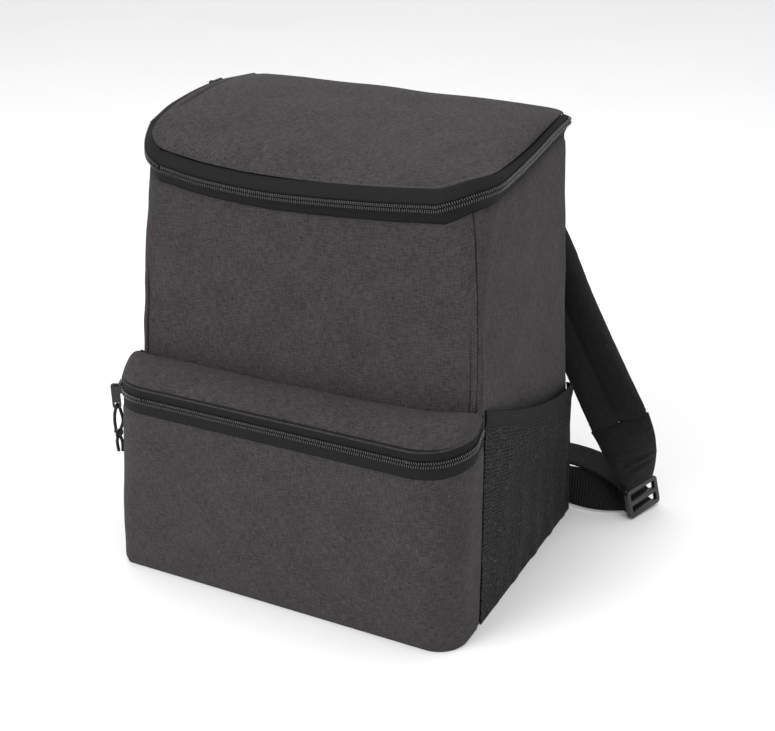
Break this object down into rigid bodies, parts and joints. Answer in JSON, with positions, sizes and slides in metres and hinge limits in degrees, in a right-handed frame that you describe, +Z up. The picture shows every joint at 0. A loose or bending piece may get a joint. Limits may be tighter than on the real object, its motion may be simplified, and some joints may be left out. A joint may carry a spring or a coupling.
{
  "type": "cooler backpack",
  "caption": "Soft insulated cooler backpack with a zipped lid, a zipped front pocket, mesh side pockets and padded shoulder straps.",
  "frame": {"origin": "middle of the bounding box's bottom face, on the surface that the bag stands on", "axes": "+X to the right seen from the front, +Y to the back with the shoulder straps, +Z up; the front pocket faces -Y"},
  "size_m": [0.441, 0.2874, 0.3683],
  "materials": {
    "cloth": "matte heathered twill",
    "lining": "matte",
    "tape": "matte woven tape",
    "chain": "satin",
    "mesh": "open knitted mesh",
    "strap": "matte",
    "webbing": "ribbed webbing",
    "plastic": "satin",
    "metal": "satin black"
  },
  "bodies": {
    "root": {"base_panel": "lining", "front_panel": "cloth", "side_panel_left": "cloth", "side_panel_right": "cloth", "back_panel": "cloth", "lid": "cloth", "lid_tape_lower": "tape", "lid_tape_upper": "tape", "lid_zip_chain": "chain", "pocket_front": "cloth", "pocket_base": "cloth", "pocket_gusset": "cloth", "pocket_tape_lower": "tape", "pocket_tape_upper": "tape", "pocket_zip_chain": "chain", "mesh_pocket_right": "mesh", "mesh_pocket_left": "mesh", "mesh_binding_right": "tape", "mesh_binding_left": "tape", "shoulder_strap_right": "strap", "shoulder_strap_left": "strap", "strap_tab_right": "strap", "strap_tab_left": "strap", "ladder_lock_right": "plastic", "ladder_lock_left": "plastic", "anchor_webbing_right": "webbing", "anchor_webbing_left": "webbing", "webbing_tail_right": "webbing", "webbing_tail_left": "webbing", "lid_slider": "metal", "lid_pull": "metal", "pocket_slider": "metal", "pocket_pull": "metal", "pull_cord": "webbing", "pull_knot": "webbing"}
  },
  "joints": []
}
